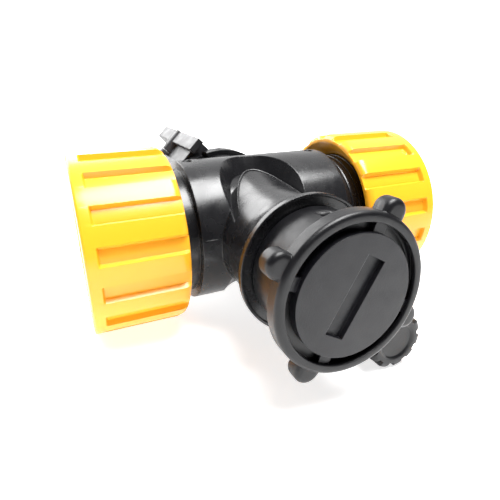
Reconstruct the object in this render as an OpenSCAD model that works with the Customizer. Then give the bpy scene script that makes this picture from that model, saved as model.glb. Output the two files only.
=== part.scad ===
// Clamp-on hose splitter: one supply pipe feeds two side outlets through a
// diaphragm check valve. The origin is the centre of the supply pipe's bore.
// X runs along the two outlets, -Y points out of the valve cap, +Z is up.

/* [Run tube] */
// Distance from the supply pipe's axis to the run axis
run_offset = 32; // [31:0.5:36]
// Distance from the valve axis to the middle of the run
run_shift = 2; // [0:0.5:2]
// Outer radius of the run tube
run_r = 14.8; // [14:0.1:14.9]
// Half length of the smooth run tube
run_half = 16.8; // [16:0.1:17.5]
// Radius of the waterway along the run
waterway_r = 9.5; // [8.5:0.1:9.6]
// Outer radius of the threaded spigots
spigot_r = 13.1; // [12.5:0.1:13.2]
// Distance from the centre to each spigot's end
spigot_end = 32.2; // [31.5:0.1:32.2]

/* [Hose nuts] */
// Outer radius over the grip ribs
nut_r = 18; // [17:0.5:19]
// Distance from the centre to each nut's inner face
nut_face = 19.8; // [19.2:0.1:19.8]
// Length of each nut
nut_len = 18; // [18:0.5:19]
// Number of grip ribs round a nut
nut_ribs = 16; // [12:1:20]
// Depth of the grooves between the ribs
groove_depth = 1; // [0.5:0.1:1.4]
// Radius of the opening that a hose tail passes through
outlet_r = 9.5; // [8.5:0.1:10]

/* [Valve neck and cap] */
// Outer radius of the neck
neck_r = 11; // [10.8:0.1:11.6]
// Outer radius of the flange at the neck's front
flange_r = 12.9; // [12.7:0.1:13.5]
// Outer radius of the cap's front ring
cap_r = 13.3; // [13.2:0.1:13.6]
// Radius at the middle of the cap's grip lobes
lobe_centre_r = 13.8; // [13.4:0.1:14.3]
// Radius of one grip lobe
lobe_r = 2.2; // [2:0.1:2.8]

/* [Pipe clamp] */
// Radius of the supply pipe's bore
pipe_r = 12.5; // [12:0.1:13]
// Width of the clamp along the pipe
clamp_w = 17; // [12:0.5:17]
// Turn of the clamp about the valve axis
clamp_turn = 45; // [40:1:50]
// Height of the tie screw above the clamp's middle plane
screw_u = 23.7; // [23.6:0.05:24]

/* [Hidden] */
$fn = 72;
eps = 0.1;
fit = 0.1;
axis_to_rear = -run_offset;

// Spigots, gaskets and strainers
gasket_in = 33.25;
gasket_out = 35.2;
lip_in = 35.3;
nut_bore_r = spigot_r + 0.3;
groove_share = 0.42;
rib_pitch = 360 / nut_ribs;
groove_w = 2 * PI * nut_r * groove_share / nut_ribs;
nut_ring = 2;
nut_mouth_r = 16.2;
nut_mouth_depth = 2.8;
strainer_in = 22.6;
strainer_wall = 0.9;

// Neck, valve seat and front spigot
inlet_r = 5;
inlet_bore_r = 3.2;
neck_bore_r = 9.3;
neck_bore_end = 25;
front_spigot_r = 9.3;
front_bore_r = 7.4;
seat_b = 32;
flare_r = 9;
flare_start = 21.6;
root_b = 15;
root_flare_r = 40;
flange_b = 28.2;
dish_b = 27.7;

// Walls that stay under the scoops, round the run and round the neck
run_core_r = 11.2;
neck_core_r = 10.4;

// Arched ridge of the neck between the scoops, as one more parabola
ridge = [5.2, 4.1];

// Scoops where the neck leaves the run: two parabolas x * x = a * (b - b0)
scoop_top = [11.7, -0.53, 14.5];
scoop_low = [5.9, 4.5, 5];
scoop_end = 17;
scoop_points = 12;

// Rear boss, collar and stub
boss_r = 13.2;
boss_b = -17.1;
collar_r = 14.3;
collar_b = -13.6;
stub_r = 6.5;
stub_end = -19.3;
seal_r = 9;
seal_b = -18.2;

// Cap, bonnet and valve parts
cap_back = 28.1;
cap_bore_r = front_spigot_r + fit;
cap_front = 41.2;
skirt_r = 10.8;
ring_back = 36;
ring_edge = 0.75;
bonnet_r = 10.2;
bonnet_back = 33.5;
bonnet_ledge = 39.4;
bonnet_front = 41.3;
rim_r = 11.7;
tab_r = 12.2;
tab_b = [39.6, 40.5];
lobe_angles = [60, 150, 240, 330];
lobe_b = [36.9, 40.5];
diaphragm_t = 1.45;
cavity_r = 6.5;
cavity_end = 39.3;
plunger_t = 1.2;
spring_r = 4.3;
spring_wire = 0.3;
spring_turns = 4;
coin_slot = [13.5, 3.6, 0.9];
coin_angle = 60;

// Clamp
pad_r = 12;
pad_b = -27;
wall_r = 14.6;
rib_out = 16;
rib_mid = 15.5;
jaw_end = -53.6;
jaw_corner = 8;
pin_u = -14.6;
pin_r = 0.9;
knuckle_r = 2;
knuckle_half = 2;
swing_r = knuckle_r + 0.3;
split_b = 0.15;
ear_b = [-34.6, -29.6];
ear_r = 4.5;

// Tie screw, knob and their fittings
screw_r = 1.5;
screw_tip = -34.9;
lug_b = [22, 27.8];
lug_r = 4.3;
lug_hole_r = 1.7;
hex_af = 5.5;
hex_r = hex_af / sqrt(3);
nut_h = 2.4;
knob_b = [28.6, 34.6];
knob_flutes = 10;
knob_core_r = 4.8;
knob_lobe_r = 1;
knob_r = 6.1;
head_b = [31.4, 33.4];

// Local frame on the run axis: x stays, y is up, z points out of the valve cap
module valve_frame() {
    translate([0, axis_to_rear, 0]) rotate([90, 0, 0]) children();
}

// The valve frame turned so that x crosses the pipe and y follows it
module clamp_frame() {
    valve_frame() rotate([0, 0, -clamp_turn]) children();
}

// Local z along the run, outwards; side is 1 for right and -1 for left
module outlet_frame(side) {
    translate([run_shift, axis_to_rear, 0]) rotate([0, side * 90, 0]) children();
}

// A cylinder between two distances along the local z axis
module rod(r, from, to) {
    translate([0, 0, from]) cylinder(r = r, h = to - from);
}

// A ring between two distances along the local z axis
module ring(outer, inner, from, to) {
    difference() {
        rod(outer, from, to);
        rod(inner, from - eps, to + eps);
    }
}

// A prism across the clamp: the outline is drawn with x across and y forward
module across_clamp(from, to) {
    translate([0, to, 0]) rotate([90, 0, 0]) linear_extrude(to - from) children();
}

// Points of the convex side of one scoop parabola
function scoop_outline(a, b0) =
    let (x_end = sqrt(a * (scoop_end - b0)))
    [for (i = [-scoop_points : scoop_points])
        let (x = x_end * i / scoop_points) [x, b0 + x * x / a]];

// One flat slice of the scoop cutter at a given height
module scoop_slice(spec) {
    translate([0, spec[2], 0]) rotate([90, 0, 0])
        linear_extrude(eps) polygon(scoop_outline(spec[0], spec[1]));
}

// The crescent-shaped recess in the run tube
module scoop_cutter() {
    hull() {
        scoop_slice(scoop_top + [0, 0, 1]);
        scoop_slice(scoop_low);
    }
}

// The part of the scoop behind the neck's arched ridge
module ridge_cutter() {
    difference() {
        scoop_cutter();
        translate([0, 20, 0]) rotate([90, 0, 0]) linear_extrude(20)
            polygon(scoop_outline(ridge[0], ridge[1]));
    }
}

// Outer skin of the neck with its flared flange, as a profile to revolve
module neck_profile() {
    difference() {
        square([flange_r, flange_b]);
        translate([neck_r + flare_r, flare_start]) circle(r = flare_r);
        translate([neck_r, root_b]) square([flare_r, flare_start - root_b]);
        intersection() {
            translate([neck_r + root_flare_r, root_b]) circle(r = root_flare_r, $fn = 160);
            square([20, root_b + eps]);
        }
        translate([front_spigot_r, dish_b]) square([flange_r - front_spigot_r - 0.5, 1]);
    }
}

module screw_lug() {
    translate([screw_u, 0, 0]) rod(lug_r, lug_b[0], lug_b[1]);
    translate([neck_r - 2, -2.6, lug_b[0] + 0.6]) cube([screw_u - neck_r, 5.2, 4.6]);
}

module tee_body() {
    color("#161618")
    difference() {
        union() {
            difference() {
                outlet_frame(1) rod(run_r, -run_half, run_half);
                for (turn = [0, 180]) valve_frame() rotate([0, 0, turn]) scoop_cutter();
            }
            difference() {
                valve_frame() rotate_extrude() neck_profile();
                for (turn = [0, 180]) valve_frame() rotate([0, 0, turn]) ridge_cutter();
            }
            outlet_frame(1) rod(run_core_r, -run_half, run_half);
            for (side = [-1, 1])
                outlet_frame(side) rod(spigot_r, run_half - 1, spigot_end);
            valve_frame() rod(neck_core_r, 0, 20);
            valve_frame() rod(front_spigot_r, 20, seat_b);
            valve_frame() rod(boss_r, boss_b, -4);
            valve_frame() rod(stub_r, stub_end, boss_b + 1);
            clamp_frame() screw_lug();
        }
        difference() {
            union() {
                outlet_frame(1) rod(waterway_r, -spigot_end - eps, spigot_end + eps);
                valve_frame() rod(neck_bore_r, 0, neck_bore_end);
                valve_frame() rod(front_bore_r, 20, seat_b + eps);
            }
            valve_frame() rod(inlet_r, boss_b + 2, seat_b + 1);
        }
        valve_frame() rod(inlet_bore_r, stub_end - eps, seat_b + eps);
        clamp_frame() translate([screw_u, 0, 0])
            rod(lug_hole_r, lug_b[0] - eps, lug_b[1] + eps);
        for (x = [-14.6, 14.6])
            valve_frame() translate([run_shift + x, run_r - 0.35, 0])
                rotate([-90, 0, 0]) cylinder(r = 1.1, h = 1);
    }
}

module rear_collar() {
    color("#1d1d20")
    difference() {
        valve_frame() ring(collar_r, boss_r + 0.05, boss_b + 0.1, collar_b);
        outlet_frame(1) rod(run_r + 0.05, -30, 30);
        valve_frame() rotate([0, 0, 108])
            translate([boss_r - 1, -0.6, boss_b - 1]) cube([4, 1.2, 6]);
        valve_frame() translate([0, boss_r - 1, -15.5])
            rotate([-90, 0, 0]) cylinder(r = 0.7, h = 4);
    }
}

module inlet_seal() {
    color("#2b2b2b")
    difference() {
        valve_frame() ring(seal_r, stub_r + 0.1, -24, seal_b);
        clamp_frame() across_clamp(-seal_r - 1, seal_r + 1)
            translate([0, axis_to_rear]) circle(r = pipe_r);
    }
}

module strainer(side) {
    color("#b9bcc0")
    outlet_frame(side) difference() {
        union() {
            ring(12.6, waterway_r - 1.3, spigot_end, gasket_in - 0.05);
            ring(waterway_r - 0.4, waterway_r - 1.3, strainer_in, spigot_end + 0.5);
            rod(waterway_r - 0.4, strainer_in, strainer_in + strainer_wall);
        }
        for (a = [0 : 30 : 150])
            rotate([0, 0, a])
                translate([-12, -0.6, strainer_in + 1.8]) cube([24, 1.2, 6.4]);
        for (a = [0 : 60 : 300])
            rotate([0, 0, a]) translate([4.6, 0, 0])
                rod(1.1, strainer_in - eps, strainer_in + 2);
    }
}

module left_strainer() { strainer(-1); }

module right_strainer() { strainer(1); }

module gasket(side) {
    color("#3a3a3c")
    outlet_frame(side) ring(12.9, outlet_r + 0.2, gasket_in, gasket_out);
}

module left_gasket() { gasket(-1); }

module right_gasket() { gasket(1); }

module hose_nut(side) {
    color("#f7a81b")
    outlet_frame(side) difference() {
        rod(nut_r, nut_face, nut_face + nut_len);
        rod(nut_bore_r, nut_face - eps, lip_in);
        translate([0, 0, nut_face])
            cylinder(r1 = nut_mouth_r, r2 = nut_bore_r - eps, h = nut_mouth_depth);
        rod(nut_mouth_r, nut_face - 1, nut_face);
        rod(outlet_r, lip_in - eps, nut_face + nut_len + eps);
        for (i = [0 : nut_ribs - 1])
            rotate([0, 0, (i + 0.5) * rib_pitch])
                translate([nut_r - groove_depth, -groove_w / 2, nut_face - 1])
                    cube([3, groove_w, nut_len - nut_ring + 1]);
    }
}

module left_nut() { hose_nut(-1); }

module right_nut() { hose_nut(1); }

module diaphragm() {
    color("#b06a3c")
    valve_frame() rod(cap_bore_r - 0.2, seat_b, seat_b + diaphragm_t);
}

module cap_bonnet() {
    color("#232326")
    valve_frame() difference() {
        union() {
            rod(cap_bore_r - 0.08, bonnet_back, bonnet_ledge + 0.5);
            rod(bonnet_r, bonnet_ledge + 0.1, bonnet_front);
            for (a = lobe_angles)
                rotate([0, 0, a + 8])
                    translate([bonnet_r - 1, -1.1, tab_b[0]])
                        cube([tab_r - bonnet_r + 1, 2.2, tab_b[1] - tab_b[0]]);
        }
        rod(cavity_r, bonnet_back - eps, cavity_end);
        difference() {
            rod(cap_bore_r + 1, 35, 36.2);
            rod(8.3, 34, 37);
        }
        rotate([0, 0, coin_angle])
            translate([-coin_slot[0] / 2, -coin_slot[1] / 2, bonnet_front - coin_slot[2]])
                cube([coin_slot[0], coin_slot[1], 2]);
    }
}

module bonnet_seal() {
    color("#2a2a2a")
    valve_frame() ring(cap_bore_r - 0.1, 8.35, 35.05, 36.15);
}

// Half section of the cap's skirt and ring, to revolve
module cap_profile() {
    difference() {
        union() {
            translate([cap_bore_r, cap_back])
                square([skirt_r - cap_bore_r, ring_back - cap_back + 1]);
            translate([cap_bore_r, ring_back])
                square([cap_r - cap_bore_r, cap_front - ring_edge - ring_back]);
            translate([cap_bore_r, ring_back + 2])
                square([cap_r - ring_edge - cap_bore_r, cap_front - ring_back - 2]);
            translate([cap_r - ring_edge, cap_front - ring_edge]) circle(r = ring_edge);
        }
        translate([cap_r, ring_back]) circle(r = cap_r - skirt_r);
        translate([0, bonnet_ledge]) square([rim_r, 4]);
        translate([0, tab_b[0] - 0.1]) square([tab_r + 0.15, tab_b[1] - tab_b[0] + 0.2]);
    }
}

// One rounded grip lobe
module grip_lobe() {
    round_r = 1;
    translate([lobe_centre_r, 0, 0]) rotate_extrude() {
        translate([0, lobe_b[0]]) square([lobe_r - round_r, lobe_b[1] - lobe_b[0]]);
        translate([0, lobe_b[0] + round_r])
            square([lobe_r, lobe_b[1] - lobe_b[0] - 2 * round_r]);
        for (b = [lobe_b[0] + round_r, lobe_b[1] - round_r])
            translate([lobe_r - round_r, b]) circle(r = round_r);
    }
}

module lobed_cap() {
    color("#1a1a1c")
    valve_frame() difference() {
        union() {
            rotate_extrude() cap_profile();
            difference() {
                for (a = lobe_angles) rotate([0, 0, a]) grip_lobe();
                rod(tab_r + 0.5, 34, 42);
            }
        }
        translate([0, skirt_r - 3, 33.2]) rotate([-90, 0, 0])
            linear_extrude(5) {
                square([1.6, 1.2], center = true);
                for (x = [-0.8, 0.8]) translate([x, 0]) circle(r = 0.6);
            }
    }
}

module valve_plunger() {
    color("#8c8f94")
    valve_frame() {
        rod(5.6, bonnet_back, bonnet_back + plunger_t);
        rod(2.2, bonnet_back + plunger_t - 0.2, bonnet_back + plunger_t + 1.5);
    }
}

// Centre line of the spring at fraction t of its turns
function coil_point(t, grow, tilt) =
    let (a = 360 * spring_turns * t,
         low = bonnet_back + plunger_t + spring_wire + 0.05,
         high = cavity_end - spring_wire - 0.05)
    [(spring_r + grow) * cos(a), (spring_r + grow) * sin(a), low + (high - low) * t + tilt];

module valve_spring() {
    rings = 24 * spring_turns;
    sides = 8;
    points = [for (i = [0 : rings], k = [0 : sides - 1])
        coil_point(i / rings, spring_wire * cos(360 * k / sides),
                   spring_wire * sin(360 * k / sides))];
    walls = [for (i = [0 : rings - 1], k = [0 : sides - 1])
        [i * sides + k, i * sides + (k + 1) % sides,
         (i + 1) * sides + (k + 1) % sides, (i + 1) * sides + k]];
    first = [for (k = [0 : sides - 1]) sides - 1 - k];
    last = [for (k = [0 : sides - 1]) rings * sides + k];
    color("#c9ccd1")
    valve_frame() polyhedron(points, concat(walls, [first, last]));
}

// Outline of the ribs on the closed side of the clamp
module rib_outline(reach) {
    translate([-reach, jaw_end + jaw_corner])
        square([reach + wall_r, -jaw_end - jaw_corner + boss_b]);
    translate([-reach + jaw_corner, jaw_end])
        square([reach + wall_r - 2 * jaw_corner, jaw_corner + 1]);
    for (x = [-reach + jaw_corner, wall_r - jaw_corner])
        translate([x, jaw_end + jaw_corner]) circle(r = jaw_corner);
}

// Shell and three ribs across the clamp's whole width
module clamp_block() {
    half = clamp_w / 2;
    across_clamp(-half, half) intersection() {
        rib_outline(wall_r);
        union() {
            translate([0, axis_to_rear]) circle(r = wall_r);
            translate([-wall_r, axis_to_rear]) square([2 * wall_r, 20]);
        }
    }
    for (v = [-half, half - 3.5])
        across_clamp(v, v + 3.5) rib_outline(rib_out);
    across_clamp(-1, 1) rib_outline(rib_mid);
}

module pipe_bore() {
    across_clamp(-clamp_w, clamp_w) translate([0, axis_to_rear]) circle(r = pipe_r);
}

// A disc round the hinge pin, between two places along the pin
module at_pin(r, from, to) {
    across_clamp(from, to) translate([pin_u, axis_to_rear]) circle(r = r);
}

module clamp_saddle() {
    half = clamp_w / 2;
    color("#2c2d30")
    difference() {
        clamp_frame() union() {
            difference() {
                union() {
                    clamp_block();
                    rod(pad_r, pad_b, boss_b);
                    for (v = [-half, half - 3.5])
                        across_clamp(v, v + 3.5)
                            translate([-rib_out, boss_b - 1]) square([1.5, 3.7]);
                }
                translate([-30, -30, -60]) cube([60, 60, 60 + axis_to_rear + split_b]);
                translate([8, -30, -60]) cube([30, 60, 60 + ear_b[1] + 0.3]);
                at_pin(swing_r, -knuckle_half - 0.2, knuckle_half + 0.2);
            }
            for (v = [-half, knuckle_half + 0.2])
                at_pin(knuckle_r, v, v + half - knuckle_half - 0.2);
        }
        clamp_frame() pipe_bore();
        clamp_frame() at_pin(pin_r + 0.02, -10, 10);
        valve_frame() rod(stub_r + 0.1, -25, boss_b + eps);
        valve_frame() rod(seal_r + 0.05, -25, seal_b);
    }
}

module clamp_jaw() {
    half = clamp_w / 2;
    color("#2c2d30")
    clamp_frame() difference() {
        union() {
            difference() {
                clamp_block();
                translate([-30, -30, axis_to_rear - split_b]) cube([38, 60, 60]);
                translate([7, -30, ear_b[1]]) cube([30, 60, 60]);
                for (v = [-half - 1, knuckle_half])
                    at_pin(swing_r, v, v + half + 1 - knuckle_half);
            }
            at_pin(knuckle_r, -knuckle_half, knuckle_half);
            translate([wall_r - 1.6, -ear_r, ear_b[0]])
                cube([screw_u - wall_r + 1.6, 2 * ear_r, ear_b[1] - ear_b[0]]);
            translate([screw_u, 0, 0]) rod(ear_r, ear_b[0], ear_b[1]);
        }
        pipe_bore();
        at_pin(pin_r + 0.06, -10, 10);
        translate([screw_u, 0, 0]) rod(2, ear_b[0] - eps, ear_b[1] + eps);
        translate([screw_u, 0, ear_b[0] - eps])
            cylinder(r = hex_r + 0.06, h = nut_h + eps, $fn = 6);
    }
}

module hinge_pin() {
    color("#a9adb3")
    clamp_frame() at_pin(pin_r, -clamp_w / 2, clamp_w / 2);
}

module captive_nut() {
    color("#b4b7bc")
    clamp_frame() translate([screw_u, 0, ear_b[0]]) difference() {
        cylinder(r = hex_r, h = nut_h, $fn = 6);
        rod(screw_r + fit, -eps, nut_h + eps);
    }
}

module knob_washer() {
    color("#b4b7bc")
    clamp_frame() translate([screw_u, 0, 0])
        ring(3.9, screw_r + 0.15, lug_b[1] + 0.05, knob_b[0] - 0.05);
}

module tie_screw() {
    color("#a4a7ad")
    clamp_frame() translate([screw_u, 0, 0]) {
        rod(screw_r, screw_tip, head_b[0] + 0.2);
        translate([0, 0, head_b[0]])
            cylinder(r = hex_r, h = head_b[1] - head_b[0], $fn = 6);
    }
}

module star_knob() {
    color("#1b1b1d")
    clamp_frame() translate([screw_u, 0, 0]) difference() {
        intersection() {
            union() {
                rod(knob_core_r, knob_b[0], knob_b[1]);
                for (i = [0 : knob_flutes - 1])
                    rotate([0, 0, i * 360 / knob_flutes])
                        translate([knob_r - knob_lobe_r, 0, 0])
                            rod(knob_lobe_r, knob_b[0], knob_b[1]);
            }
            rotate_extrude() polygon([
                [0, knob_b[0]], [knob_r - 0.8, knob_b[0]], [knob_r + 0.2, knob_b[0] + 1],
                [knob_r + 0.2, knob_b[1] - 1.2], [knob_r - 1, knob_b[1]], [0, knob_b[1]]
            ]);
        }
        rod(screw_r + 0.05, knob_b[0] - eps, head_b[0]);
        translate([0, 0, head_b[0] - 0.03])
            cylinder(r = hex_r + 0.05, h = head_b[1] - head_b[0] + 0.06, $fn = 6);
    }
}

tee_body();
rear_collar();
inlet_seal();
left_strainer();
right_strainer();
left_gasket();
right_gasket();
left_nut();
right_nut();
diaphragm();
cap_bonnet();
bonnet_seal();
lobed_cap();
valve_plunger();
valve_spring();
clamp_saddle();
clamp_jaw();
hinge_pin();
captive_nut();
knob_washer();
tie_screw();
star_knob();
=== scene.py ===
# Looks for the clamp-on hose splitter: studio, camera, materials and detailed pieces.
# The frame is in metres: X along the outlets, -Y out of the valve cap, +Z up.
import math

import bmesh
import bpy
import numpy as np
from mathutils import Matrix, Vector


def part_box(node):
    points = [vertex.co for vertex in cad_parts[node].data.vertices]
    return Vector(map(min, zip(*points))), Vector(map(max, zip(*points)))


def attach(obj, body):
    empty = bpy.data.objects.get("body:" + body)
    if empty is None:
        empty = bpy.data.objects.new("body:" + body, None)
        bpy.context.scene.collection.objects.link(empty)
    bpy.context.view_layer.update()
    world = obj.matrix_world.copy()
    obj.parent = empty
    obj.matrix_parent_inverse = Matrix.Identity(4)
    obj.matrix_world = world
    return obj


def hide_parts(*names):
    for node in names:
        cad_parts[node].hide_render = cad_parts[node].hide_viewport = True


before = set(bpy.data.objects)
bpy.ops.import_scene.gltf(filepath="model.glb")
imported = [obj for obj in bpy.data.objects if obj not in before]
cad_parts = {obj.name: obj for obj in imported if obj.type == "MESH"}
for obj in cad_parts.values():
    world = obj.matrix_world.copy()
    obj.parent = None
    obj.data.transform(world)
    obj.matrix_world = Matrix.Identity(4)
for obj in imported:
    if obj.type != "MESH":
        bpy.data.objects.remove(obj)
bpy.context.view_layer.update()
MM = 0.001

# ---------------------------------------------------------------- axes and main sizes
NUT_LOW, NUT_HIGH = (Vector(v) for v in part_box("right_nut"))
LEFT_LOW = Vector(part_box("left_nut")[0])
RUN_X = (LEFT_LOW.x + NUT_HIGH.x) / 2
RUN_Y = (NUT_LOW.y + NUT_HIGH.y) / 2
RUN_CENTRE = Vector((0, RUN_Y, 0))
# radii, and distances along the outlets from the run's middle, in millimetres
NUT_R = (NUT_HIGH.z - NUT_LOW.z) / 2 / MM
NUT_IN = (NUT_LOW.x - RUN_X) / MM
NUT_OUT = (NUT_HIGH.x - RUN_X) / MM
RUN_R = 14.8
RUN_HALF = 16.8
SPIGOT_R = 13.1
SPIGOT_END = 32.2
# neck round the valve axis: it flares from FLARE_START to the flange, and an arched ridge ends it
NECK_R = 11
FLANGE_R = 12.9
FLARE_R = 40
FLARE_START = 15
RIDGE_TOP = 4.1
RIDGE_BEND = 5.2
# valve cap, with distances along the valve axis from the run axis
CAP_BACK = 28.1
CAP_FRONT = 41.2
CAP_R = 13.3
CAP_EDGE = 0.75
SKIRT_R = 10.8
FILLET_R = CAP_R - SKIRT_R
FILLET_START = 36.0
FILLET_END = FILLET_START + FILLET_R
CAP_BORE_R = 9.4
RIM_R = 11.7
TAB_R = 12.35
LEDGE, TAB_LOW, TAB_HIGH = 39.4, 39.5, 40.6
LOBE_LOW, LOBE_HIGH = 36.9, 40.5
LOBE_R, LOBE_EDGE, LOBE_CENTRE_R = 2.2, 1.0, 13.8
LOBE_TURNS = (60, 150, 240, 330)
# tie screw and knob, in the clamp frame
SCREW_X = 23.7
KNOB_R = 6.1
KNOB_BACK = 28.6
CLAMP_TURN = math.radians(45)
# valve frame: x stays, y is up, z points out of the cap; its origin lies on the run axis
VALVE = Matrix.Translation(RUN_CENTRE) @ Matrix.Rotation(math.pi / 2, 4, "X")
# clamp frame: the valve frame turned so that x crosses the pipe
CLAMP = VALVE @ Matrix.Rotation(-CLAMP_TURN, 4, "Z")


def outlet(side):
    """Frame with z along the run, pointing out of the outlet on that side."""
    return Matrix.Translation((RUN_X, RUN_Y, 0)) @ Matrix.Rotation(side * math.pi / 2, 4, "Y")


# ---------------------------------------------------------------- camera and studio
CAMERA_OFFSET = Vector((-0.0369, -0.0857, 0.0304))
CAMERA_RIGHT = Vector((0.9112, -0.4119, -0.0102))
CAMERA_UP = Vector((0.1613, 0.3339, 0.9287))
CAMERA_LENS = 30.45
FLOOR_HALF = 1.5
SEARCH_ROUNDS = 12


def link(obj):
    """Puts an object in the scene."""
    bpy.context.scene.collection.objects.link(obj)


def make_camera():
    """Wide lens close to the cap, from its left and a little above."""
    data = bpy.data.cameras.new("camera")
    data.lens = CAMERA_LENS
    data.shift_y = -0.004
    data.sensor_width = 36
    data.clip_start = 0.005
    data.dof.use_dof = False
    cam = bpy.data.objects.new("camera", data)
    right = CAMERA_RIGHT.normalized()
    back = right.cross(CAMERA_UP).normalized()
    up = back.cross(right)
    turn = Matrix((right, up, back)).transposed().to_4x4()
    cam.matrix_world = Matrix.Translation(RUN_CENTRE + CAMERA_OFFSET) @ turn
    link(cam)
    bpy.context.scene.camera = cam


def make_area(name, offset, size, power):
    """Rectangular lamp at an offset from the run's centre, aimed at it."""
    data = bpy.data.lights.new(name, "AREA")
    data.shape = "RECTANGLE"
    data.size, data.size_y = size
    data.energy = power
    lamp = bpy.data.objects.new(name, data)
    aim = -Vector(offset)
    turn = aim.to_track_quat("-Z", "Y").to_matrix().to_4x4()
    lamp.matrix_world = Matrix.Translation(RUN_CENTRE + Vector(offset)) @ turn
    link(lamp)


def resting_plane(names):
    """Point and normal of the plane that the three named nodes stand on."""
    clouds = [np.array([v.co[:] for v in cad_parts[n].data.vertices]) for n in names]
    normal = np.array([0.0, 0.0, 1.0])
    for _ in range(SEARCH_ROUNDS):
        feet = [c[np.argmin(c @ normal)] for c in clouds]
        normal = np.cross(feet[1] - feet[0], feet[2] - feet[0])
        normal *= np.sign(normal[2]) / np.linalg.norm(normal)
    return Vector(feet[0]), Vector(normal)


def make_floor():
    """Pale floor under the three points that the part stands on."""
    point, normal = resting_plane(["left_nut", "star_knob", "clamp_jaw"])
    centre = RUN_CENTRE - normal * (RUN_CENTRE - point).dot(normal)
    mesh = bpy.data.meshes.new("floor")
    build = bmesh.new()
    bmesh.ops.create_grid(build, x_segments=8, y_segments=8, size=FLOOR_HALF)
    build.to_mesh(mesh)
    build.free()
    floor = bpy.data.objects.new("floor", mesh)
    turn = normal.to_track_quat("Z", "Y").to_matrix().to_4x4()
    floor.matrix_world = Matrix.Translation(centre) @ turn
    link(floor)
    floor.data.materials.append(floor_paper())


def make_world():
    """Surroundings that are dark in front of the part and white behind it."""
    world = bpy.data.worlds.new("studio")
    world.use_nodes = True
    nodes, links = world.node_tree.nodes, world.node_tree.links
    nodes.clear()
    out = nodes.new("ShaderNodeOutputWorld")
    sky = nodes.new("ShaderNodeBackground")
    ramp = nodes.new("ShaderNodeValToRGB")
    where = nodes.new("ShaderNodeTexCoord")
    split = nodes.new("ShaderNodeSeparateXYZ")
    links.new(where.outputs["Generated"], split.inputs[0])
    links.new(split.outputs["Y"], ramp.inputs["Fac"])
    ramp.color_ramp.elements[0].position = 0.0
    ramp.color_ramp.elements[0].color = (0.07, 0.07, 0.075, 1)
    ramp.color_ramp.elements[1].position = 0.4
    ramp.color_ramp.elements[1].color = (1, 1, 1, 1)
    links.new(ramp.outputs["Color"], sky.inputs["Color"])
    sky.inputs["Strength"].default_value = 1.1
    links.new(sky.outputs[0], out.inputs["Surface"])
    bpy.context.scene.world = world


# ---------------------------------------------------------------- materials
NOISE_SPAN = (0.3, 0.7)
SMEAR_SHARE = 0.35
GRAIN_HEIGHT = 0.03 * MM
# reach of the painted shade that darkens grooves and corners
PAINTED_SHADE_REACH = 1.6 * MM


def paint_crevice_shade(nodes, links, plain, crevice_shade):
    """Painted shade: the plain colour turns to a darker crevice colour where ambient occlusion finds
    grooves and corners.
    """
    occlusion = nodes.new("ShaderNodeAmbientOcclusion")
    occlusion.samples = 6
    occlusion.inputs["Distance"].default_value = PAINTED_SHADE_REACH
    depth = nodes.new("ShaderNodeMapRange")
    depth.inputs["From Min"].default_value = 0.5
    depth.inputs["From Max"].default_value = 0.97
    links.new(occlusion.outputs["AO"], depth.inputs["Value"])
    mix = nodes.new("ShaderNodeMix")
    mix.data_type = "RGBA"
    links.new(depth.outputs["Result"], mix.inputs[0])
    mix.inputs[6].default_value = crevice_shade
    links.new(plain, mix.inputs[7])
    return mix.outputs[2]


def noise(nodes, links, where, size_mm, detail):
    """Noise pattern in object space whose blotches are about size_mm wide."""
    pattern = nodes.new("ShaderNodeTexNoise")
    pattern.inputs["Scale"].default_value = 1 / (size_mm * MM)
    pattern.inputs["Detail"].default_value = detail
    links.new(where.outputs["Object"], pattern.inputs["Vector"])
    return pattern.outputs["Fac"]


def paint(name, dark, light, scale_mm, rough, bump, grain_mm, edge_mm=0.0, crevice_shade=None, **sockets):
    """Procedural surface: colour and roughness drift over scale_mm, fine grain, softened edges, and painted
    shade in grooves and corners when a crevice colour is given.
    """
    mat = bpy.data.materials.get(name)
    if mat:
        return mat
    mat = bpy.data.materials.new(name)
    mat.use_nodes = True
    nodes, links = mat.node_tree.nodes, mat.node_tree.links
    shader = nodes["Principled BSDF"]
    where = nodes.new("ShaderNodeTexCoord")

    colour = nodes.new("ShaderNodeValToRGB")
    for stop, place, value in zip(colour.color_ramp.elements, NOISE_SPAN, (dark, light)):
        stop.position = place
        stop.color = (*value, 1)
    links.new(noise(nodes, links, where, scale_mm, 4), colour.inputs["Fac"])
    tint = colour.outputs["Color"]
    # painted shade: the colour darkens in grooves and corners
    if crevice_shade:
        tint = paint_crevice_shade(nodes, links, tint, crevice_shade)
    links.new(tint, shader.inputs["Base Color"])

    spread = nodes.new("ShaderNodeMapRange")
    spread.inputs["From Min"].default_value, spread.inputs["From Max"].default_value = NOISE_SPAN
    spread.inputs["To Min"].default_value, spread.inputs["To Max"].default_value = rough
    links.new(noise(nodes, links, where, scale_mm * SMEAR_SHARE, 6), spread.inputs["Value"])
    links.new(spread.outputs["Result"], shader.inputs["Roughness"])

    relief = nodes.new("ShaderNodeBump")
    relief.inputs["Strength"].default_value = bump
    relief.inputs["Distance"].default_value = GRAIN_HEIGHT
    links.new(noise(nodes, links, where, grain_mm, 3), relief.inputs["Height"])
    links.new(relief.outputs["Normal"], shader.inputs["Normal"])
    if edge_mm:
        edge = nodes.new("ShaderNodeBevel")
        edge.samples = 6
        edge.inputs["Radius"].default_value = edge_mm * MM
        links.new(edge.outputs["Normal"], relief.inputs["Normal"])
    for socket, value in sockets.items():
        shader.inputs[socket.replace("_", " ")].default_value = value
    return mat


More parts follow.
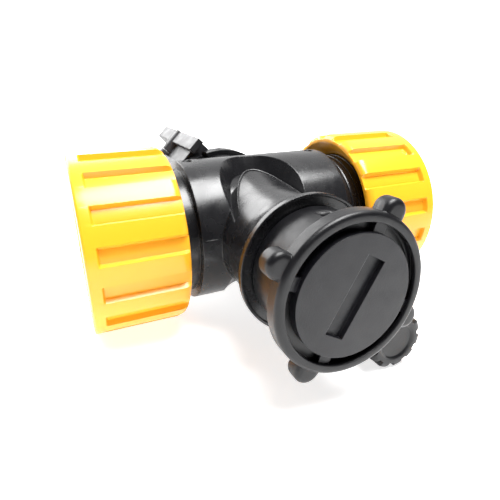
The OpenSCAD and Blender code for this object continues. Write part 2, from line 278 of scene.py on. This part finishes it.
def floor_paper():
    return paint("floor_paper", (0.84, 0.84, 0.84), (0.87, 0.87, 0.87), scale_mm=4,
                 rough=(0.7, 0.8), bump=0.1, grain_mm=0.5,
                 Emission_Color=(1, 1, 1, 1), Emission_Strength=0.75)


def gloss_black():
    return paint("gloss_black", (0.006, 0.006, 0.007), (0.010, 0.010, 0.011), scale_mm=9,
                 rough=(0.20, 0.32), bump=0.25, grain_mm=0.5, edge_mm=0.3)


def satin_black():
    return paint("satin_black", (0.004, 0.004, 0.005), (0.008, 0.008, 0.009), scale_mm=6,
                 rough=(0.28, 0.42), bump=0.5, grain_mm=0.25, edge_mm=0.25,
                 Specular_IOR_Level=0.32)


def bonnet_grey():
    return paint("bonnet_grey", (0.004, 0.004, 0.006), (0.009, 0.009, 0.011), scale_mm=7,
                 rough=(0.32, 0.46), bump=0.6, grain_mm=0.2, edge_mm=0.2,
                 Specular_IOR_Level=0.34)


def clamp_grey():
    return paint("clamp_grey", (0.016, 0.016, 0.018), (0.026, 0.026, 0.029), scale_mm=8,
                 rough=(0.34, 0.5), bump=0.5, grain_mm=0.3, edge_mm=0.35)


def orange():
    # the grooves get painted shade: a deeper, darker orange where ambient occlusion finds them
    return paint("orange_plastic", (0.90, 0.27, 0.0003), (0.93, 0.31, 0.0005), scale_mm=11,
                 rough=(0.34, 0.48), bump=0.3, grain_mm=0.45, crevice_shade=(0.72, 0.055, 0.0, 1),
                 Specular_IOR_Level=0.35, Specular_Tint=(1.0, 0.55, 0.06, 1))


def rubber():
    return paint("seal_rubber", (0.014, 0.014, 0.014), (0.026, 0.025, 0.024), scale_mm=3,
                 rough=(0.6, 0.8), bump=0.6, grain_mm=0.2)


def tan_rubber():
    return paint("diaphragm_rubber", (0.28, 0.10, 0.04), (0.38, 0.15, 0.06), scale_mm=4,
                 rough=(0.5, 0.7), bump=0.4, grain_mm=0.2)


def natural_plastic():
    return paint("natural_plastic", (0.42, 0.42, 0.39), (0.54, 0.54, 0.51), scale_mm=4,
                 rough=(0.35, 0.5), bump=0.3, grain_mm=0.2)


def steel():
    return paint("bright_steel", (0.50, 0.50, 0.51), (0.66, 0.66, 0.67), scale_mm=2,
                 rough=(0.18, 0.34), bump=0.3, grain_mm=0.15, Metallic=1.0)


SURFACES = {
    "tee_body": gloss_black, "rear_collar": satin_black, "inlet_seal": rubber,
    "left_strainer": natural_plastic, "right_strainer": natural_plastic,
    "left_gasket": rubber, "right_gasket": rubber, "left_nut": orange, "right_nut": orange,
    "diaphragm": tan_rubber, "cap_bonnet": bonnet_grey, "bonnet_seal": rubber,
    "lobed_cap": satin_black, "valve_plunger": natural_plastic, "valve_spring": steel,
    "clamp_saddle": clamp_grey, "clamp_jaw": clamp_grey, "hinge_pin": steel,
    "captive_nut": steel, "knob_washer": steel, "tie_screw": steel, "star_knob": satin_black,
}


def dress_cad_nodes():
    """Gives every CAD node its own surface."""
    for name, surface in SURFACES.items():
        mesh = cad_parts[name].data
        mesh.materials.clear()
        mesh.materials.append(surface())


# ---------------------------------------------------------------- detailed pieces
WORDS = {-1: "left", 1: "right"}


def ease(value, low, high):
    """0 at low, 1 at high, smooth between; low may be the larger."""
    t = np.clip((value - low) / (high - low), 0, 1)
    return t * t * (3 - 2 * t)


def soft_max(a, b, blend):
    """The larger of two values, with the corner between them rounded over blend."""
    return (a + b + np.sqrt((a - b) ** 2 + blend ** 2)) / 2


def lathe(name, place, section, around, reach, surface, closed=True):
    """Revolves section = [(radius, z) in mm]; reach(radius, z, angles, k) shapes each ring."""
    angles = np.linspace(0, 2 * math.pi, around, endpoint=False)
    rings = []
    for k, (radius, z) in enumerate(section):
        r = reach(radius, z, angles, k) if reach else np.full(around, float(radius))
        rings.append(np.stack([r * np.cos(angles), r * np.sin(angles), np.full(around, float(z))], 1))
    points = np.concatenate(rings) * MM
    last = len(section) if closed else len(section) - 1
    faces = []
    for i in range(last):
        a, b = i * around, (i + 1) % len(section) * around
        for j in range(around):
            n = (j + 1) % around
            faces.append((a + j, a + n, b + n, b + j))
    return solid(name, place, points.tolist(), faces, surface)


def solid(name, place, points, faces, surface, crease=38):
    """A smooth-shaded mesh object with doubled points merged and sharp edges kept."""
    mesh = bpy.data.meshes.new(name)
    mesh.from_pydata(points, [], faces)
    build = bmesh.new()
    build.from_mesh(mesh)
    bmesh.ops.remove_doubles(build, verts=build.verts, dist=2e-6)
    bmesh.ops.dissolve_degenerate(build, edges=build.edges, dist=1e-6)
    bmesh.ops.recalc_face_normals(build, faces=build.faces)
    build.to_mesh(mesh)
    build.free()
    mesh.polygons.foreach_set("use_smooth", [True] * len(mesh.polygons))
    mesh.set_sharp_from_angle(angle=math.radians(crease))
    mesh.materials.append(surface)
    obj = bpy.data.objects.new(name, mesh)
    obj.matrix_world = place
    link(obj)
    return obj


def corner(centre_r, centre_z, size, start, end, steps=5):
    """Points of a rounded corner in a section, angles in degrees from +r towards +z."""
    turns = np.radians(np.linspace(start, end, steps))
    return [(centre_r + size * math.cos(t), centre_z + size * math.sin(t)) for t in turns]


def make_nut(side):
    """Hose nut with blind rounded grooves, a plain end ring and a conical mouth."""
    ribs, depth, lip, blend = 16, 1.0, 2.0, 0.45
    mouth_r, mouth_depth, thread_r, bore_r, shelf = 16.2, 2.8, 13.4, 9.5, 35.3
    shoulder_r, shoulder_z = 1.3, 1.7
    floor_r = NUT_R - depth
    groove_half = math.pi * NUT_R * 0.46 / ribs

    def reach(radius, z, angles, k):
        if radius <= floor_r or k >= outer_points:
            return np.full(len(angles), float(radius))
        off = (angles * ribs / (2 * math.pi) - 0.5) % 1.0
        off = np.minimum(off, 1 - off) * 2 * math.pi / ribs * NUT_R
        groove = ease(off, groove_half + 0.15, groove_half - 0.3)
        groove = groove * ease(z, NUT_OUT - lip, NUT_OUT - lip - blend)
        return radius - groove * (radius - floor_r)

    outer = [(mouth_r + 0.2, NUT_IN)]
    for t in np.radians(np.linspace(80, 0, 9)):
        r = NUT_R - shoulder_r * (1 - math.cos(t))
        outer.append((r, NUT_IN + shoulder_z * (1 - math.sin(t))))
    outer += [(NUT_R, z) for z in np.linspace(NUT_IN + 2.6, NUT_OUT - lip - 0.7, 14)]
    outer += [(NUT_R, NUT_OUT - lip - blend * i / 5) for i in (5, 4, 3, 2, 1, 0)]
    outer += corner(NUT_R - blend, NUT_OUT - blend, blend, 0, 90, 6)
    outer_points = len(outer)
    inner = [(bore_r + 0.7, NUT_OUT), (bore_r + 0.25, NUT_OUT - 0.12), (bore_r, NUT_OUT - 0.5)]
    inner += [(bore_r, shelf), (thread_r, shelf)]
    inner += [(thread_r, NUT_IN + mouth_depth), (mouth_r, NUT_IN + 0.15)]
    word = WORDS[side]
    nut = lathe(f"{word}_nut_shell", outlet(side), outer + inner, 512, reach, orange())
    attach(nut, f"{word}_nut")
    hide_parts(f"{word}_nut")


def make_spigot_thread(side):
    """Helical thread ridge on one spigot, fading out at both ends."""
    pitch, steps, fade_steps = 1.814, 96, 12
    start, stop = RUN_HALF + 1.2, SPIGOT_END - 1.0
    root_r, root_half, crest_half, height = SPIGOT_R - 0.05, 0.55, 0.14, 0.26
    count = int((stop - start) / pitch * steps)
    points, faces = [], []
    for i in range(count + 1):
        fade = min(1.0, i / fade_steps, (count - i) / fade_steps)
        angle = 2 * math.pi * i / steps
        z = start + pitch * i / steps
        crest_r = SPIGOT_R - 0.04 + height * fade
        profile = [(root_r, -root_half), (crest_r, -crest_half), (crest_r, crest_half), (root_r, root_half)]
        for r, dz in profile:
            points.append((r * math.cos(angle) * MM, r * math.sin(angle) * MM, (z + dz) * MM))
    for i in range(count):
        for k in range(4):
            a, b = i * 4 + k, i * 4 + (k + 1) % 4
            faces.append((a, b, b + 4, a + 4))
    faces += [(0, 1, 2, 3), tuple(count * 4 + k for k in (3, 2, 1, 0))]
    thread = solid(f"{WORDS[side]}_spigot_thread", outlet(side), points, faces, gloss_black())
    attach(thread, "tee")


def lobe_reach(angles, centre_angle, centre_r, size):
    """Distance from the axis to the far side of a round lobe, 0 where it isn't met."""
    off = (angles - centre_angle + math.pi) % (2 * math.pi) - math.pi
    room = size ** 2 - (centre_r * np.sin(off)) ** 2
    met = (room > 0) & (np.cos(off) > 0)
    return np.where(met, centre_r * np.cos(off) + np.sqrt(np.maximum(room, 0)), 0)


def cap_reach(z):
    """Radius of the cap's ring without its lobes: hollow fillet, straight, rounded edge."""
    if z < FILLET_END:
        return CAP_R - math.sqrt(max(FILLET_R ** 2 - (z - FILLET_START) ** 2, 0))
    past = max(z - CAP_FRONT + CAP_EDGE, 0)
    return CAP_R - CAP_EDGE + math.sqrt(max(CAP_EDGE ** 2 - past ** 2, 0))


def make_cap():
    """Lobed cap: skirt, hollow fillet, rounded front ring, four grip lobes."""
    def reach(radius, z, angles, k):
        r = np.full(len(angles), float(radius))
        if k not in lobed:
            return r
        past = max(LOBE_LOW + LOBE_EDGE - z, z - LOBE_HIGH + LOBE_EDGE, 0)
        size = LOBE_R - LOBE_EDGE + math.sqrt(max(LOBE_EDGE ** 2 - past ** 2, 0))
        for turn in LOBE_TURNS:
            far = lobe_reach(angles, math.radians(turn), LOBE_CENTRE_R, size)
            r = np.where(far > r - 0.6, np.maximum(soft_max(r, far, 0.35) - 0.02, r), r)
        return np.minimum(r, LOBE_CENTRE_R + LOBE_R)

    section = [(CAP_BORE_R, CAP_BACK), (SKIRT_R - 0.3, CAP_BACK), (SKIRT_R - 0.1, CAP_BACK + 0.07)]
    section += [(SKIRT_R, z) for z in (CAP_BACK + 0.3, 31.0, FILLET_START - 1)]
    section += [(cap_reach(z), z) for z in (FILLET_START, 36.4, 36.7, LOBE_LOW)]
    lobed_from = len(section)
    turns = np.radians(np.linspace(0, 90, 7))
    heights = list(LOBE_LOW + LOBE_EDGE * (1 - np.cos(turns)))
    heights += [FILLET_END + z for z in (-0.4, -0.2, -0.05, 0, 0.5)]
    turns = np.radians(np.linspace(0, 90, 8))
    heights += list(LOBE_HIGH - LOBE_EDGE + LOBE_EDGE * np.sin(turns))
    section += [(cap_reach(z), z) for z in heights]
    lobed = set(range(lobed_from, len(section)))
    section += [(cap_reach(LOBE_HIGH), LOBE_HIGH)]
    section += corner(CAP_R - CAP_EDGE, CAP_FRONT - CAP_EDGE, CAP_EDGE, 12, 90, 7)
    section += [(RIM_R + 0.25, CAP_FRONT), (RIM_R + 0.08, CAP_FRONT - 0.05), (RIM_R, CAP_FRONT - 0.2)]
    section += [(RIM_R, TAB_HIGH), (TAB_R, TAB_HIGH), (TAB_R, TAB_LOW), (RIM_R, TAB_LOW)]
    section += [(RIM_R, LEDGE), (CAP_BORE_R, LEDGE)]
    cap = lathe("lobed_cap_shell", VALVE, section, 540, reach, satin_black())
    cut_weep_slot(cap)
    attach(cap, "cap")
    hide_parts("lobed_cap")


def cut_weep_slot(cap):
    """Cuts the small oval drain slot through the top of the skirt."""
    half, end_r, middle = 0.8, 0.6, 33.2
    low, high = SKIRT_R - 3, SKIRT_R + 1.7
    outline = [(-half + x, z) for x, z in corner(0, 0, end_r, 90, 270, 9)]
    outline += [(half + x, z) for x, z in corner(0, 0, end_r, -90, 90, 9)]
    points = [(x * MM, y * MM, (middle + z) * MM) for y in (low, high) for x, z in outline]
    n = len(outline)
    faces = [tuple(range(n)), tuple(range(2 * n - 1, n - 1, -1))]
    faces += [(i, (i + 1) % n, n + (i + 1) % n, n + i) for i in range(n)]
    cutter = solid("weep_cutter", VALVE, points, faces, satin_black())
    cut = cap.modifiers.new("weep_slot", "BOOLEAN")
    cut.object = cutter
    cut.solver = "EXACT"
    bpy.context.view_layer.update()
    whole = cap.evaluated_get(bpy.context.evaluated_depsgraph_get())
    cap.data = bpy.data.meshes.new_from_object(whole)
    cap.modifiers.clear()
    bpy.data.objects.remove(cutter)


def sweep(name, place, path, radii, sides, surface):
    """A round bead of changing radius along a path of (x, y, z) in mm."""
    path = [Vector(p) for p in path]
    points, faces = [], []
    for i, centre in enumerate(path):
        along = (path[min(i + 1, len(path) - 1)] - path[max(i - 1, 0)]).normalized()
        out = Vector((centre.x, centre.y, 0))
        out = (out - along * out.dot(along)).normalized()
        across = along.cross(out)
        for k in range(sides):
            turn = 2 * math.pi * k / sides
            ring = out * math.cos(turn) + across * math.sin(turn)
            points.append((centre + ring * float(radii[i])) * MM)
    for i in range(len(path) - 1):
        for k in range(sides):
            a, b = i * sides + k, i * sides + (k + 1) % sides
            faces.append((a, b, b + sides, a + sides))
    last = (len(path) - 1) * sides
    faces += [tuple(range(sides)), tuple(range(last + sides - 1, last - 1, -1))]
    return solid(name, place, points, faces, surface, 60)


def make_ridge_beads():
    """Rounded bead along the arched ridge above and below the neck."""
    half_span, taper, root, height = 8.1, 1.2, 0.04, 0.2
    path, radii = [], []
    for x in np.linspace(-half_span, half_span, 61):
        z = RIDGE_TOP + x * x / RIDGE_BEND
        flare = FLARE_R - math.sqrt(FLARE_R ** 2 - max(FLARE_START - z, 0) ** 2)
        r = min(NECK_R + flare, FLANGE_R)
        path.append((x, math.sqrt(r * r - x * x) - 0.02, z + 0.12))
        radii.append(root + height * min(1, (half_span - abs(x)) / taper))
    for word, turn in (("top", 0), ("bottom", math.pi)):
        place = VALVE @ Matrix.Rotation(turn, 4, "Z")
        bead = sweep(f"ridge_bead_{word}", place, path, radii, 10, gloss_black())
        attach(bead, "tee")


def make_parting_lines():
    """Fine raised lines along the front of the run tube, either side of the neck."""
    height, steps, y = 0.09, 15, 2.2
    z = math.sqrt(RUN_R ** 2 - y ** 2) - 0.02
    for word, start, stop in (("left", -14.3, -11.4), ("right", 11.4, 18.3)):
        path = [(x, y, z) for x in np.linspace(start, stop, steps + 1)]
        fades = [0.3 + 4 * min(i, steps - i) / steps for i in range(steps + 1)]
        radii = [height * min(1, fade) for fade in fades]
        line = sweep(f"parting_line_{word}", VALVE, path, radii, 8, gloss_black())
        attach(line, "tee")


def make_knob():
    """Fluted knob that closes over the tie screw's head."""
    flutes, core_r, flute_r, flute_centre_r = 10, 4.7, 0.95, 5.1
    bore_r, head_r, head_low, head_high = 1.55, 3.25, 31.3, 33.6
    front_z, front_edge = 33.2, 1.4

    def reach(radius, z, angles, k):
        if radius < 4.2:
            return np.full(len(angles), float(radius))
        r = np.full(len(angles), core_r)
        for i in range(flutes):
            flute = lobe_reach(angles, 2 * math.pi * i / flutes, flute_centre_r, flute_r)
            r = soft_max(r, flute, 0.25)
        return np.minimum(np.minimum(r, KNOB_R), radius)

    section = [(0, head_high), (head_r, head_high), (head_r, head_low), (bore_r, head_low)]
    section += [(bore_r, KNOB_BACK), (KNOB_R - 1, KNOB_BACK), (KNOB_R - 0.6, KNOB_BACK + 0.15)]
    section += [(KNOB_R - 0.25, KNOB_BACK + 0.5), (KNOB_R, KNOB_BACK + 1)]
    section += [(KNOB_R, 31.5), (KNOB_R, front_z)]
    section += corner(core_r, front_z, front_edge, 10, 80, 7)
    section += [(4.1, 34.6), (3.7, 34.5), (3.4, 34.2), (1.2, 34.1), (0, 34.1)]
    place = CLAMP @ Matrix.Translation((SCREW_X * MM, 0, 0))
    knob = lathe("star_knob_shell", place, section, 240, reach, satin_black(), closed=False)
    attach(knob, "knob")
    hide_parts("star_knob")


# ---------------------------------------------------------------- assembly
bpy.context.scene.view_settings.view_transform = "Standard"
make_camera()
make_world()
make_floor()
make_area("softbox", offset=(0.06, -0.07, 0.30), size=(0.22, 0.16), power=2.6)
make_area("back_card", offset=(-0.10, 0.32, 0.20), size=(0.35, 0.25), power=1.6)
dress_cad_nodes()
for outlet_side in WORDS:
    make_nut(outlet_side)
for outlet_side in WORDS:
    make_spigot_thread(outlet_side)
make_cap()
make_knob()
make_ridge_beads()
make_parting_lines()
